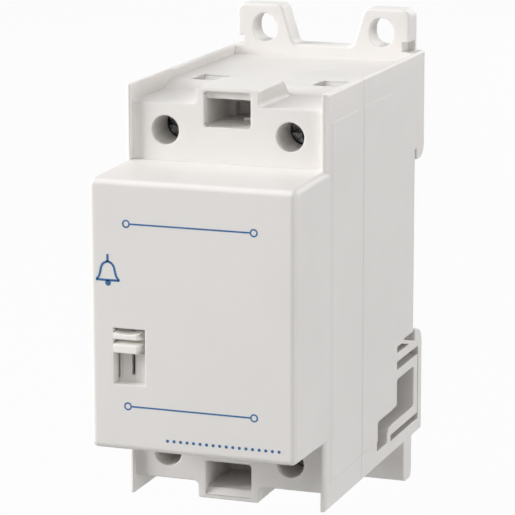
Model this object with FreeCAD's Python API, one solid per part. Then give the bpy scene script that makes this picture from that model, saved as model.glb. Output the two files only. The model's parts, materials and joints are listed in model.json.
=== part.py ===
import FreeCAD, Part
import math
import os

# A two-module bell transformer for a 35 mm mounting rail or for a wall.
# Millimetres. +Z is up, -Y is the front that faces the room, +X is to the right.
# Depths below are measured from the nose's front face, and heights from its middle.
# The finished pieces are moved so that the origin lies in the middle of the rail seat.

# Housing outside
width = 35.6                 # two modules of 17.8
nose_height = 45.0
nose_draft = 0.4             # each side, from the front face to the side wall's edge
side_wall_front = 15.6       # depth at which the side walls start
face_step = 1.2              # the terminal faces lie this far behind the side walls' edges
terminal_zone = 12.6         # height of the side walls above and below the nose
mid_z = 0.4                  # the body is centred a little above the nose
side_wall = 1.05
deck_drop_front, deck_drop_rear = 2.9, 1.65    # from the side walls' ends to the decks
ramp_to_parting, ramp_rise_end = 4.35, 0.95    # slope of the deck ahead of the parting
cover_wall = 1.5
deck_wall = 1.4
lining = 0.55                # thickening inside the side walls
nose_edge_round = 1.0
wall_edge_chamfer = 0.3
wall_front_round = 0.8
seam_depth, seam_half = 0.25, 0.2    # V groove along the joint of cover and rear housing
half = width / 2
wall_inner = half - side_wall
inner_half_width = wall_inner - lining
terminal_face = side_wall_front + face_step    # depth of the faces with the screw holes
body_half = nose_height / 2 + terminal_zone    # half height of the side walls
front_deck_half = body_half - deck_drop_front  # half height of the terminal faces
rear_deck_half = body_half - deck_drop_rear

# Terminals
access_depth = 7.2
access_r = 2.45
access_boss_r = 3.9
head_r = 2.6
head_thick = 2.0
head_gap = 0.2
head_chamfer, tip_chamfer = 0.3, 0.4
thread_r = 2.0
thread_gap = 0.05
slot_width, slot_depth = 0.9, 1.1
cross_half = 1.5
tip_gap = 0.1
bar_thick = 1.2
bar_width = 5.0
cage_wall = 0.9
cage_half_width = 4.0
cage_half_height = 2.9
cage_front_wall = 1.6
cage_travel = 5.2
cage_throat = 1.7            # from the open cage's front wall to the bar
cage_depth_behind = 7.4      # from the bar's front to the open cage's back
cage_round = 0.6
cage_side_room = 1.25        # from the cage to the inside of the side wall
chamber_gap = 0.2
chamber_wall = 1.2
screw_below_deck = 4.55
shelf_room = 1.0             # between the core and the shelf that keeps it from the terminals
shelf_thick = 1.2
bar_reach, bar_round = 3.5, 0.4      # how far a bar runs past the shelf's inner face
bar_seat = 0.05              # the bars lie this far behind the parting
screw_x = inner_half_width - cage_half_width - cage_side_room
screw_half = front_deck_half - screw_below_deck    # half distance of the screw axes from mid_z
access_back = terminal_face + access_depth
cage_front = access_back + 2 * head_gap + head_thick + cage_travel    # outer front, cage open
bar_front = cage_front + cage_front_wall + cage_throat
cage_back = bar_front + cage_depth_behind          # outer back of the cage, open
parting = bar_front - bar_seat                     # joint of cover and rear housing
ramp_start, ramp_end = parting - ramp_to_parting, parting - ramp_rise_end

# Centre block with its window, above and below
block_from_screw = 5.5       # from a screw's axis to the block's side
block_drop = 0.05            # the block stays this far inside the side walls' ends
block_depth, block_slope = 12.2, 3.0
block_edge_round = 0.4
block_fillet = 0.9           # concave, where a deck runs up into the block's side
window_side_wall = 1.35
window_roof = 0.55
window_below_deck = 3.65
lintel_depth, lintel_drop = 1.0, 1.3
tunnel_depth = 12.0
tunnel_wall = 1.2
tunnel_end_depth = 4.6       # narrow stretch behind the main part
tunnel_end_step, tunnel_end_below_deck = 1.2, 1.2
block_half_width = screw_x - block_from_screw
block_half = body_half - block_drop                # half height of the block's outer side
block_back = terminal_face + block_depth
block_foot = block_back + block_slope
window_half_width = block_half_width - window_side_wall
window_low, window_high = front_deck_half - window_below_deck, block_half - window_roof
lintel_low = window_high - lintel_drop
tunnel_back = terminal_face + tunnel_depth
tunnel_end = tunnel_back + tunnel_end_depth
tunnel_end_left = tunnel_end_step - window_half_width
tunnel_end_high = front_deck_half - tunnel_end_below_deck

# Wire entries in the rear decks
entry_half_width = 2.45
entry_length = 7.05
dish_from_wall, dish_behind_parting, dish_r, dish_depth = 8.5, 10.65, 7.0, 0.4
entry_back = parting + entry_length
dish_x, dish_y = half - dish_from_wall, parting + dish_behind_parting

# Rail seat, hook, foot and ears
foot_length = 22.7           # from the open cages' backs to the rail seat
back_depth = 5.5             # from the rail seat to the rear plane
rail_middle = 0.65
rail_half = 17.5
rail_grip = 1.75
rail_slot = 1.2              # room for the rail's edge behind the seat
rail_play = 0.2
foot_ramp_length, foot_ramp_step = 5.5, 0.3    # sloping top of the foot in front of its nose
foot_wall = 1.4
hook_round = 2.4
foot_nose_round = 3.2
pocket_from_hook, pocket_below_deck = 4.0, 0.85
hook_pocket_in, hook_pocket_side = 1.4, 3.0
hook_pocket_deep = 3.6
ear_step = 0.75              # the ears' fronts lie this far behind the rail seat
ear_side, ear_rise, ear_valley_rise = 1.6, 7.6, 0.6
ear_slot_in, ear_slot_half_width = 5.2, 2.3
ear_slot_margin = 1.55       # from an ear's top to its slot
ear_slot_length = 5.2
ear_gap_top, ear_gap_low = 3.25, 5.4           # from a slot's axis to the gap between the ears
ear_round, ear_chamfer = 1.3, 0.3
notch_in, notch_rise, notch_height, notch_deep = 1.3, 0.1, 1.8, 3.5
tab_side, tab_drop, tab_round = 1.9, 9.2, 1.2
rail_seat = cage_back + foot_length
rear_plane = rail_seat + back_depth
nose_top = rail_middle - rail_half + rail_grip     # top of the foot's nose
hook_low = rail_middle + rail_half - rail_grip
hook_pocket_low, hook_pocket_high = hook_low + pocket_from_hook, mid_z + rear_deck_half - pocket_below_deck
hook_pocket_out = half - hook_pocket_side
ear_front = rail_seat + ear_step
ear_outer = half - ear_side
ear_slot_x = ear_outer - ear_slot_in
ear_inner_top, ear_inner_low = ear_slot_x - ear_gap_top, ear_slot_x - ear_gap_low
ear_base = mid_z + body_half
ear_top, ear_valley = ear_base + ear_rise, ear_base + ear_valley_rise
ear_slot_high = ear_top - ear_slot_margin
ear_slot_low = ear_slot_high - ear_slot_length
notch_low, notch_high = ear_base + notch_rise, ear_base + notch_rise + notch_height
tab_bottom = mid_z - body_half - tab_drop
tab_half_width = half - tab_side

# Shallow raised field on each side wall
field_proud = 0.12
field_behind_face, field_before_seat = 1.7, 12.6
field_margin_top, field_margin_bottom = 4.9, 4.7
field_front, field_back = terminal_face + field_behind_face, rail_seat - field_before_seat
field_top, field_bottom = mid_z + body_half - field_margin_top, mid_z - body_half + field_margin_bottom

# Lattice of the springy foot. The upper part hangs on the foot's nose, the lower part on the floor.
lattice_length = 9.6         # from the leaf's root to the rail seat
spring_arm = 0.6
leaf_drop, leaf_thick = 1.8, 1.55    # the leaf lies this far below the foot's nose
slot_gap = 1.55
arm_root_length, arm_end_length, wedge_end = 7.0, 2.6, 0.15
strip_thick = 2.3
strip_slit = 0.45
opening_behind_seat, opening_drop = 0.7, 6.6
knee_rise, strip_top_rise, strip_bottom_rise = 6.55, 3.85, 2.05    # above the floor
opening_rise, thin_slot_rise = 1.15, 0.85
strip_turn_length, strip_turn_thick = 15.2, 2.0
opening_to_chamber = 0.1
lattice_round = 0.6
floor_z = mid_z - rear_deck_half
foot_ramp_front = rail_seat - foot_ramp_length
lattice_front = rail_seat - lattice_length
arm_root, arm_end = rail_seat - arm_root_length, rail_seat - arm_end_length
leaf_top = nose_top - leaf_drop
opening_top = nose_top - opening_drop
opening_front = cage_back + chamber_gap + chamber_wall + opening_to_chamber
opening_back = rail_seat + opening_behind_seat
knee_z = floor_z + knee_rise
strip_top, strip_bottom = floor_z + strip_top_rise, floor_z + strip_bottom_rise
opening_low, thin_slot_low = floor_z + opening_rise, floor_z + thin_slot_rise
strip_turn_front = rail_seat - strip_turn_length
strip_turn_back = strip_turn_front + strip_turn_thick

# Switch
pocket_side, pocket_width = 4.2, 5.5           # from the housing's side to the knob's pocket
slit_in = 2.62               # from the pocket's left side to the guide slit's middle
pocket_top, pocket_bottom = -2.0, -11.4
pocket_depth = 2.1
pocket_floor = 1.0
pocket_rim = 1.0
leg_thick = 0.45
leg_gap = 0.05
slit_top, slit_bottom = -2.3, -10.2
edge_slot_bottom = -10.8
knob_side_gap = 0.08
knob_width = 4.07
knob_top, knob_bottom = -2.9, -6.35
knob_proud = 0.35
knob_rib, knob_rib_slope = 1.1, 0.15
knob_groove_depth = 1.3
knob_edge_round = 0.2
knob_scoop_r, knob_scoop = 6.0, 0.45
switch_travel = 4.4
shoe_half_width = 2.0
shoe_thick = 1.8
shoe_gap = 0.15
bridge_thick = 0.3
bridge_inset = 0.3
contact_gap = 0.05
contact_thick = 0.4
contact_in, contact_out = 0.4, 1.6
contact_open_gap = 0.6       # between the bridge and the lower contact at rest
switch_base_thick = 1.2
switch_base_half_width = 2.2
switch_base_top, switch_base_bottom = -1.2, -13.8
switch_post = 0.7
pocket_left = pocket_side - half
pocket_right = pocket_left + pocket_width
switch_x = pocket_left + slit_in
knob_left = pocket_left + knob_side_gap
knob_right = knob_left + knob_width

# Core and coil, sized as a scrapless stamping: legs a sixth and centre leg a third of the length
core_front = 4.3
core_end_room = 12.7         # from the core's end to the rail seat
core_room = 1.0              # inside the nose, above and below the core
core_stack = 16.8
fin_inner, fin_margin, fin_overlap = 6.0, 2.0, 1.0
bobbin_gap = 0.2
bobbin_wall = 0.8
bobbin_flange = 1.0
bobbin_side_room = 0.4
coil_side_room, coil_window_room = 1.8, 0.6
winding_gap = 0.1
tape_thick = 0.2
winding_round = 1.8
cutout_r, cutout_length = 0.9, 9.0
core_length = rail_seat - core_end_room - core_front
core_leg, core_centre_leg = core_length / 6, core_length / 3
core_height = nose_height - 2 * (cover_wall + core_room)
core_middle = core_front + core_length / 2
window_height = core_height - 2 * core_leg
fin_half = core_height / 2 - fin_margin
shelf_half = core_height / 2 + shelf_room          # inner face of the shelf
bobbin_half_width = inner_half_width - bobbin_side_room
coil_half_width = bobbin_half_width - coil_side_room
coil_depth_in_window = core_leg - bobbin_gap - bobbin_wall - coil_window_room

# Leads
lead_r = 0.6
lead_sides = 8
bend_share = 0.45            # part of the shorter run that a bend takes
solder_gap = 0.05
lead_from_shelf = 2.9        # a lead is soldered to its bar this far past the shelf
lead_start, lead_step, lead_end = 2.2, 3.0, 2.0
live_side, live_back, live_rise = 1.4, 9.0, 0.8
live_front, live_front_side, live_front_rise, live_turn_rise = 8.0, 1.2, 1.2, 3.4
cutout_side, cutout_step, cutout_drop, cutout_run = 1.2, 1.4, 0.5, 4.0

# Cutters stand out of what they cut, and fused pieces run into each other, at the side walls by the last value
over, sink, flat = 1.0, 0.1, 0.01


def vec(x, y, z):
    return FreeCAD.Vector(x, y, z)


def box(x0, x1, y0, y1, z0, z1):
    return Part.makeBox(x1 - x0, y1 - y0, z1 - z0, vec(x0, y0, z0))


def polygon_x(points, x0, x1):
    """Extrude a closed outline of (depth, height) points along X."""
    loop = [vec(x0, y, z) for y, z in points]
    face = Part.Face(Part.makePolygon(loop + loop[:1]))
    return face.extrude(vec(x1 - x0, 0, 0))


def polygon_y(points, y0, y1):
    """Extrude a closed outline of (x, height) points along Y."""
    loop = [vec(x, y0, z) for x, z in points]
    face = Part.Face(Part.makePolygon(loop + loop[:1]))
    return face.extrude(vec(0, y1 - y0, 0))


def rod_y(x, z, r, y0, y1):
    return Part.makeCylinder(r, y1 - y0, vec(x, y0, z), vec(0, 1, 0))


def height(side, h):
    """Height of a feature h away from the body's middle, side +1 above and -1 below."""
    return mid_z + side * h


def span(a, b):
    return min(a, b), max(a, b)


def edges_where(shape, test):
    return [e for e in shape.Edges if test(e.BoundBox)]


def rounded(shape, r, test):
    return shape.makeFillet(r, edges_where(shape, test))


def chamfered(shape, size, test):
    return shape.makeChamfer(size, edges_where(shape, test))


def near(a, b):
    return abs(a - b) < 1e-4


def joined(first, others):
    return first.multiFuse(others).removeSplitter()


def window_section(side):
    """Outline heights of a window, low to high, for the block above or below."""
    return span(height(side, window_low), height(side, window_high))


def make_nose():
    low = nose_height / 2
    wide = low + nose_draft
    outline = [(0, -low), (0, low), (side_wall_front, wide), (terminal_face, wide),
               (terminal_face, -wide), (side_wall_front, -wide)]
    nose = polygon_x(outline, -half, half)
    return rounded(nose, nose_edge_round, lambda b: b.YMin < side_wall_front - 1
                   and (b.YMax < flat or near(b.YMax, side_wall_front)))


def side_wall_plate(side, y0, y1):
    """One side wall between two depths, with its long outer edges rounded."""
    x0, x1 = span(side * wall_inner, side * (half - field_proud))
    z0, z1 = mid_z - body_half, mid_z + body_half
    plate = box(x0, x1, y0, y1, z0, z1)
    outer_x = side * (half - field_proud)
    plate = chamfered(plate, wall_edge_chamfer, lambda b: b.YLength > 1 and near(b.XMin, outer_x)
                      and near(b.XMax, outer_x))
    if near(y0, side_wall_front):
        plate = rounded(plate, wall_front_round, lambda b: b.ZLength > 1 and near(b.YMax, y0)
                        and near(b.XMin, outer_x) and near(b.XMax, outer_x))
    field_x0, field_x1 = span(side * wall_inner, side * half)
    lo, hi = max(y0, field_front), min(y1, field_back)
    return plate.fuse(box(field_x0, field_x1, lo, hi, field_bottom, field_top))


def cover_profile():
    """Side outline of the cover between the side walls."""
    top = [(terminal_face, front_deck_half), (ramp_start, front_deck_half),
           (ramp_end, rear_deck_half), (parting, rear_deck_half)]
    upper = [(y, height(1, h)) for y, h in top]
    lower = [(y, height(-1, h)) for y, h in reversed(top)]
    return upper + lower


def centre_block(side):
    base = height(side, front_deck_half - 2)
    outline = [(terminal_face, base), (terminal_face, height(side, block_half)),
               (block_back, height(side, block_half)), (block_foot, height(side, front_deck_half)),
               (block_foot, base)]
    block = polygon_x(outline, -block_half_width, block_half_width)
    return rounded(block, block_edge_round, lambda b: near(b.ZMin, b.ZMax)
                   and near(b.ZMin, height(side, block_half)) and b.YLength > 1)


def block_root(side, flank):
    """Concave fillet where a deck runs up into one side of the centre block."""
    foot = height(side, front_deck_half)
    x0, x1 = span(flank * (block_half_width - sink), flank * (block_half_width + block_fillet))
    z0, z1 = span(foot - side * 0.1, foot + side * block_fillet)
    corner = box(x0, x1, terminal_face, ramp_start, z0, z1)
    hollow = rod_y(flank * (block_half_width + block_fillet), foot + side * block_fillet, block_fillet,
                   terminal_face - over, ramp_start + over)
    return corner.cut(hollow)


def cover_cavity():
    """Room inside the cover for the core and the terminals."""
    nose_in = nose_height / 2 - cover_wall
    face_in = terminal_face + cover_wall
    chamber = front_deck_half - deck_wall
    ramp_in = rear_deck_half - deck_wall
    upper = [(cover_wall, nose_in), (face_in, nose_in), (face_in, height(1, chamber)),
             (ramp_start, height(1, chamber)), (ramp_end, height(1, ramp_in)), (parting, height(1, ramp_in))]
    lower = [(parting, height(-1, ramp_in)), (ramp_end, height(-1, ramp_in)),
             (ramp_start, height(-1, chamber)), (face_in, height(-1, chamber)),
             (face_in, -nose_in), (cover_wall, -nose_in)]
    return polygon_x(upper + lower, -inner_half_width, inner_half_width)


def tunnel(side):
    """Hollow behind a window: lintel recess, main part and a narrow stepped end."""
    z0, z1 = window_section(side)
    mouth = box(-window_half_width, window_half_width, terminal_face, terminal_face + lintel_depth, z0, z1)
    m0, m1 = span(height(side, window_low), height(side, lintel_low))
    main = box(-window_half_width, window_half_width, terminal_face, tunnel_back, m0, m1)
    e0, e1 = span(height(side, window_low), height(side, tunnel_end_high))
    end = box(tunnel_end_left, window_half_width, tunnel_back - sink, tunnel_end, e0, e1)
    return mouth.multiFuse([main, end])


def tunnel_walls(side):
    reach = window_half_width + tunnel_wall
    z0, z1 = span(height(side, window_low - tunnel_wall), height(side, front_deck_half - sink))
    return box(-reach, reach, terminal_face + cover_wall - sink, tunnel_end + tunnel_wall, z0, z1)


def shelf(y0, y1, side):
    z0, z1 = span(height(side, shelf_half), height(side, shelf_half + shelf_thick))
    return box(-inner_half_width - sink, inner_half_width + sink, y0, y1, z0, z1)


def switch_cut():
    """Pocket for the knob, its guide slit and the slot beside its floor."""
    pocket = box(pocket_left, pocket_right, -over, pocket_depth, pocket_bottom, pocket_top)
    slit = leg_thick / 2 + leg_gap
    through = pocket_depth + pocket_floor + 0.5
    centre = box(switch_x - slit, switch_x + slit, 0, through, slit_bottom, slit_top)
    edge = box(pocket_left, pocket_left + 2 * slit, 0, through, edge_slot_bottom, slit_top)
    return pocket.multiFuse([centre, edge])


def switch_floor():
    """Wall round the pocket, inside the nose."""
    return box(pocket_left - pocket_rim, pocket_right + pocket_rim, cover_wall - sink,
               pocket_depth + pocket_floor, pocket_bottom - pocket_rim, pocket_top + pocket_rim)


def seam_grooves():
    """V grooves along the joint on both sides, and across the side walls' top and bottom edges."""
    grooves = []
    for side in (-1, 1):
        x_in, x_out = side * (half - field_proud - seam_depth), side * (half + over)
        flare = seam_half * (seam_depth + over) / seam_depth
        outline = [(x_in, parting), (x_out, parting - flare), (x_out, parting + flare)]
        loop = [vec(x, y, -body_half - over) for x, y in outline]
        face = Part.Face(Part.makePolygon(loop + loop[:1]))
        grooves.append(face.extrude(vec(0, 0, 2 * (body_half + over))))
        z_in, z_out = mid_z + side * (body_half - seam_depth), mid_z + side * (body_half + over)
        ends = [(parting, z_in), (parting - flare, z_out), (parting + flare, z_out)]
        grooves.append(polygon_x(ends, -half - over, half + over))
    return grooves


def core_fin(side, y0, y1):
    """Upright fin that holds one side of the core's end in the housing."""
    x0, x1 = span(side * fin_inner, side * (core_stack / 2 - fin_overlap))
    return box(x0, x1, y0, y1, mid_z - fin_half, mid_z + fin_half)


def front_cover():
    middle = polygon_x(cover_profile(), -wall_inner - flat, wall_inner + flat)
    plates = [side_wall_plate(s, side_wall_front, parting) for s in (-1, 1)]
    blocks = [centre_block(s) for s in (-1, 1)]
    roots = [block_root(s, flank) for s in (-1, 1) for flank in (-1, 1)]
    outer = joined(make_nose(), [middle] + plates + blocks + roots)
    inside = [switch_floor()]
    for side in (-1, 1):
        inside.append(tunnel_walls(side))
        inside.append(shelf(terminal_face + cover_wall - sink, parting, side))
        inside.append(core_fin(side, cover_wall - sink, core_front - winding_gap))
        for x in (-screw_x, screw_x):
            inside.append(rod_y(x, height(side, screw_half), access_boss_r,
                                terminal_face + cover_wall - sink, access_back))
    cover = outer.cut(cover_cavity())
    cover = joined(cover, inside)
    cuts = [switch_cut(), tunnel(1), tunnel(-1)] + seam_grooves()
    for side in (-1, 1):
        for x in (-screw_x, screw_x):
            cuts.append(rod_y(x, height(side, screw_half), access_r, terminal_face - over, access_back + over))
    return cover.cut(Part.makeCompound(cuts))


def rear_profile():
    """Outline of the rear housing between the side walls, hook and foot included."""
    deck, floor = height(1, rear_deck_half), height(-1, rear_deck_half)
    groove_top = rail_middle + rail_half + rail_play
    lip_front = rail_seat + rail_slot
    return [(parting, deck), (ear_front, deck), (rear_plane, deck), (rear_plane, hook_low),
            (lip_front, hook_low), (lip_front, groove_top), (rail_seat, groove_top),
            (rail_seat, nose_top), (foot_ramp_front, nose_top),
            (foot_ramp_front, nose_top - foot_ramp_step),
            (lip_front, rail_middle - rail_half - rail_play), (lip_front, nose_top),
            (rear_plane, nose_top), (rear_plane, floor), (parting, floor)]


def body_section():
    """Side outline of the whole rear housing, at the side walls' full height."""
    outline = rear_profile()
    lowest, highest = mid_z - body_half, mid_z + body_half
    raised = {height(1, rear_deck_half): highest, height(-1, rear_deck_half): lowest}
    return [(y, raised.get(z, z)) for y, z in outline]


def ear_plate():
    """Rear wall above the deck with its two ears, before the slots."""
    low = height(1, rear_deck_half) - 1.0
    outline = [(-wall_inner, low), (-wall_inner, mid_z + body_half), (-ear_outer, mid_z + body_half),
               (-ear_outer, ear_top), (-ear_inner_top, ear_top), (-ear_inner_low, ear_valley),
               (ear_inner_low, ear_valley), (ear_inner_top, ear_top), (ear_outer, ear_top),
               (ear_outer, mid_z + body_half), (wall_inner, mid_z + body_half), (wall_inner, low)]
    plate = polygon_y(outline, ear_front, rear_plane)
    plate = rounded(plate, ear_round, lambda b: b.YLength > 1 and b.ZLength < flat
                    and (near(b.ZMin, ear_top) or near(b.ZMin, ear_valley)))
    return chamfered(plate, ear_chamfer, lambda b: b.YLength < flat and b.ZMin > ear_valley - ear_chamfer)


def ear_slot(side):
    x = side * ear_slot_x
    low = ear_slot_low + ear_slot_half_width
    high = ear_slot_high - ear_slot_half_width
    y0, y1 = ear_front - over, rear_plane + over
    body = box(x - ear_slot_half_width, x + ear_slot_half_width, y0, y1, low, high)
    ends = [rod_y(x, z, ear_slot_half_width, y0, y1) for z in (low, high)]
    return body.multiFuse(ends)


def hook_pocket(side):
    """Pocket in the back of the hook that keeps its wall as thin as the rest."""
    x0, x1 = span(side * hook_pocket_in, side * hook_pocket_out)
    pocket = box(x0, x1, rear_plane - hook_pocket_deep, rear_plane + over, hook_pocket_low, hook_pocket_high)
    return rounded(pocket, lattice_round, lambda b: b.YLength > 1)


def ear_notch(side):
    x0, x1 = span(side * (ear_outer - notch_in), side * (ear_outer + over))
    return box(x0, x1, ear_front - over, ear_front + notch_deep, notch_low, notch_high)


def lattice_cuts():
    """Gaps that make the foot springy, cut right through from side to side."""
    x0, x1 = -half - over, half + over
    leaf_low = leaf_top - leaf_thick
    second_top = leaf_low - slot_gap
    wedge = [(lattice_front, nose_top - spring_arm), (arm_root, nose_top - spring_arm),
             (arm_end, leaf_top + wedge_end), (arm_end, leaf_top), (lattice_front, leaf_top)]
    slit_front = opening_back + strip_thick
    slit_back = slit_front + strip_slit
    gap = box(x0, x1, lattice_front, slit_back, second_top, leaf_low)
    opening = [(lattice_front, opening_top), (opening_back, opening_top), (opening_back, strip_top),
               (strip_turn_front, strip_top), (strip_turn_front, opening_low),
               (opening_front, opening_low), (opening_front, knee_z), (lattice_front, knee_z)]
    main = polygon_x(opening, x0, x1)
    main = rounded(main, lattice_round, lambda b: b.XLength > 1)
    slit_top = second_top + slot_gap / 2
    thin = [(strip_turn_back, strip_bottom), (slit_front, strip_bottom), (slit_front, slit_top),
            (slit_back, slit_top), (slit_back, thin_slot_low), (strip_turn_back, thin_slot_low)]
    return [polygon_x(wedge, x0, x1), gap, main, polygon_x(thin, x0, x1)]


def rear_cavity():
    """Room inside the rear housing: coil and core, and a step over the foot."""
    top = rear_deck_half - deck_wall
    seat_in = rail_seat - cover_wall
    points = [(parting, height(1, top)), (seat_in, height(1, top)), (seat_in, nose_top + foot_wall),
              (lattice_front - foot_wall, nose_top + foot_wall),
              (lattice_front - foot_wall, knee_z + foot_wall),
              (opening_front - chamber_wall, knee_z + foot_wall),
              (opening_front - chamber_wall, height(-1, top)), (parting, height(-1, top))]
    return polygon_x(points, -inner_half_width, inner_half_width)


def wire_entry(x, side):
    z0, z1 = span(height(side, shelf_half + 2 * shelf_thick), height(side, body_half))
    return box(x - entry_half_width, x + entry_half_width, parting - over, entry_back, z0, z1)


def dish(x, side):
    z = height(side, rear_deck_half)
    low = z - side * dish_depth
    return Part.makeCone(dish_r - dish_depth, dish_r + dish_depth, 2 * dish_depth,
                         vec(x, dish_y, low), vec(0, 0, side))


def rear_housing():
    middle = polygon_x(rear_profile(), -wall_inner - flat, wall_inner + flat)
    walls = []
    for side in (-1, 1):
        x0, x1 = span(side * wall_inner, side * (half - field_proud))
        plate = polygon_x(body_section(), x0, x1)
        plate = chamfered(plate, wall_edge_chamfer, lambda b: b.YLength > 5 and b.XLength < flat
                          and (near(b.ZMin, mid_z + body_half) or near(b.ZMax, mid_z - body_half)))
        f0, f1 = span(side * wall_inner, side * half)
        walls += [plate, box(f0, f1, parting, field_back, field_bottom, field_top)]
    tab = box(-tab_half_width, tab_half_width, ear_front, rear_plane,
              tab_bottom, height(-1, rear_deck_half) + sink)
    tab = rounded(tab, tab_round, lambda b: near(b.ZMax, tab_bottom) and b.YLength < flat)
    housing = joined(middle, walls + [ear_plate(), tab])
    housing = rounded(housing, hook_round, lambda b: b.XLength > 1 and near(b.YMax, rear_plane)
                      and near(b.YMin, rear_plane) and near(b.ZMax, hook_low))
    housing = rounded(housing, foot_nose_round, lambda b: b.XLength > 1 and near(b.YMax, rear_plane)
                      and near(b.YMin, rear_plane) and near(b.ZMax, nose_top))
    housing = housing.cut(rear_cavity())
    inside = []
    for side in (-1, 1):
        inside.append(shelf(parting, entry_back + 1.0, side))
        z0, z1 = span(height(side, shelf_half + sink), height(side, rear_deck_half - deck_wall + sink))
        inside.append(box(-inner_half_width - sink, inner_half_width + sink, cage_back + chamber_gap,
                          cage_back + chamber_gap + chamber_wall, z0, z1))
        inside.append(core_fin(side, core_front + core_length + winding_gap, rail_seat - cover_wall + sink))
    housing = joined(housing, inside)
    cuts = lattice_cuts() + seam_grooves()
    for side in (-1, 1):
        cuts += [ear_slot(side), ear_notch(side), hook_pocket(side)]
    bar_slot = bar_width / 2 + tip_gap
    for side in (-1, 1):
        z0, z1 = span(height(side, shelf_half - sink), height(side, shelf_half + shelf_thick + sink))
        for x in (-screw_x, screw_x):
            cuts.append(wire_entry(x, side))
            cuts.append(dish(math.copysign(dish_x, x), side))
            cuts.append(box(x - bar_slot, x + bar_slot, parting - over, bar_front + bar_thick + tip_gap,
                            z0, z1))
    return housing.cut(Part.makeCompound(cuts))


def terminal_screw(x, side):
    z = height(side, screw_half)
    head_front = access_back + head_gap
    head = rod_y(x, z, head_r, head_front, head_front + head_thick)
    head = chamfered(head, head_chamfer, lambda b: near(b.YMax, head_front))
    shank = rod_y(x, z, thread_r, head_front + head_thick, bar_front - tip_gap)
    tip_edge = bar_front - tip_gap
    shank = chamfered(shank, tip_chamfer, lambda b: near(b.YMin, tip_edge))
    slot = box(x - head_r - over, x + head_r + over, head_front - over, head_front + slot_depth,
               z - slot_width / 2, z + slot_width / 2)
    cross = box(x - slot_width / 2, x + slot_width / 2, head_front - over, head_front + slot_depth,
                z - cross_half, z + cross_half)
    return head.fuse(shank).cut(slot).cut(cross)


def wire_cage(x, side):
    z = height(side, screw_half)
    z0, z1 = z - cage_half_height, z + cage_half_height
    outer = box(x - cage_half_width, x + cage_half_width, cage_front, cage_back, z0, z1)
    outer = rounded(outer, cage_round, lambda b: b.ZLength > 1)
    inner_half = cage_half_width - cage_wall
    inner = box(x - inner_half, x + inner_half, cage_front + cage_front_wall, cage_back - cage_wall,
                z0 - over, z1 + over)
    thread = rod_y(x, z, thread_r + thread_gap, cage_front - over, cage_front + cage_front_wall + over)
    return outer.cut(inner).cut(thread)


def contact_bar(x, side):
    """Flat bar through the shelf's slot, from the cage to the soldered end."""
    z = height(side, screw_half)
    z0, z1 = span(height(side, shelf_half - bar_reach), z + side * cage_half_height)
    bar = box(x - bar_width / 2, x + bar_width / 2, bar_front, bar_front + bar_thick, z0, z1)
    return rounded(bar, bar_round, lambda b: b.YLength > 1)


def switch_slider():
    """Knob with two ribs, its leg through the slit and the shoe behind the pocket's floor."""
    x0, x1 = knob_left, knob_right
    front, back = -knob_proud, pocket_depth - shoe_gap
    groove = -knob_proud + knob_groove_depth
    outline = [(back, knob_top), (front, knob_top), (front, knob_top - knob_rib),
               (groove, knob_top - knob_rib - knob_rib_slope),
               (groove, knob_bottom + knob_rib + knob_rib_slope),
               (front, knob_bottom + knob_rib), (front, knob_bottom), (back, knob_bottom)]
    knob = polygon_x(outline, x0, x1)
    knob = rounded(knob, knob_edge_round, lambda b: b.XLength > 1 and b.YMax < groove)
    scoop_z = knob_top + knob_scoop_r - knob_scoop
    scoop = Part.makeCylinder(knob_scoop_r, back, vec((x0 + x1) / 2, front - sink, scoop_z), vec(0, 1, 0))
    knob = knob.cut(scoop)
    shoe_front = pocket_depth + pocket_floor + shoe_gap
    leg_low = slit_bottom + switch_travel + leg_gap
    leg = box(switch_x - leg_thick / 2, switch_x + leg_thick / 2, back - sink, shoe_front + sink,
              leg_low, knob_top - knob_scoop - leg_gap)
    shoe = box(switch_x - shoe_half_width, switch_x + shoe_half_width, shoe_front, shoe_front + shoe_thick,
               knob_bottom, knob_top)
    return joined(knob, [leg, shoe])


def switch_depths():
    """Depths of shoe back, bridge back, contact front and base front."""
    shoe_back = pocket_depth + pocket_floor + shoe_gap + shoe_thick
    bridge_back = shoe_back + bridge_thick
    contact_front = bridge_back + contact_gap
    return shoe_back, bridge_back, contact_front, contact_front + contact_thick


def contact_bridge():
    shoe_back, bridge_back, _, _ = switch_depths()
    strip = box(switch_x - contact_out, switch_x + contact_out, shoe_back, bridge_back,
                knob_bottom + bridge_inset, knob_top - bridge_inset)
    return rounded(strip, bridge_thick / 3, lambda b: b.XLength > 1 and near(b.YMax, bridge_back))


def fixed_contacts():
    """A long strip that the bridge always touches, and a short one that it reaches when slid down."""
    _, _, front, back = switch_depths()
    strips = []
    for side, top in ((-1, pocket_top), (1, knob_bottom + bridge_inset - contact_open_gap)):
        x0, x1 = span(switch_x + side * contact_in, switch_x + side * contact_out)
        strips.append(box(x0, x1, front, back, pocket_bottom, top))
    return Part.makeCompound(strips)


def switch_base():
    """Moulded plate behind the contacts, standing on two posts from the pocket's wall."""
    _, _, _, base_front = switch_depths()
    x0, x1 = switch_x - switch_base_half_width, switch_x + switch_base_half_width
    top, bottom = switch_base_top, switch_base_bottom
    plate = box(x0, x1, base_front, base_front + switch_base_thick, bottom, top)
    upper = box(x0, x1, pocket_depth + pocket_floor, base_front, top - switch_post, top)
    lower = box(x0, x1, cover_wall, base_front, bottom, bottom + switch_post)
    return joined(plate, [upper, lower])


def core_e_stack():
    z0 = mid_z - core_height / 2
    y0, y1 = core_front, core_front + core_length
    x = core_stack / 2
    outer = box(-x, x, y0, y1, z0 + core_leg, z0 + core_height)
    gap = (core_length - core_centre_leg - 2 * core_leg) / 2
    windows = [box(-x - over, x + over, y, y + gap, z0, z0 + core_height - core_leg)
               for y in (y0 + core_leg, y1 - core_leg - gap)]
    return outer.cut(Part.makeCompound(windows))


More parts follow.
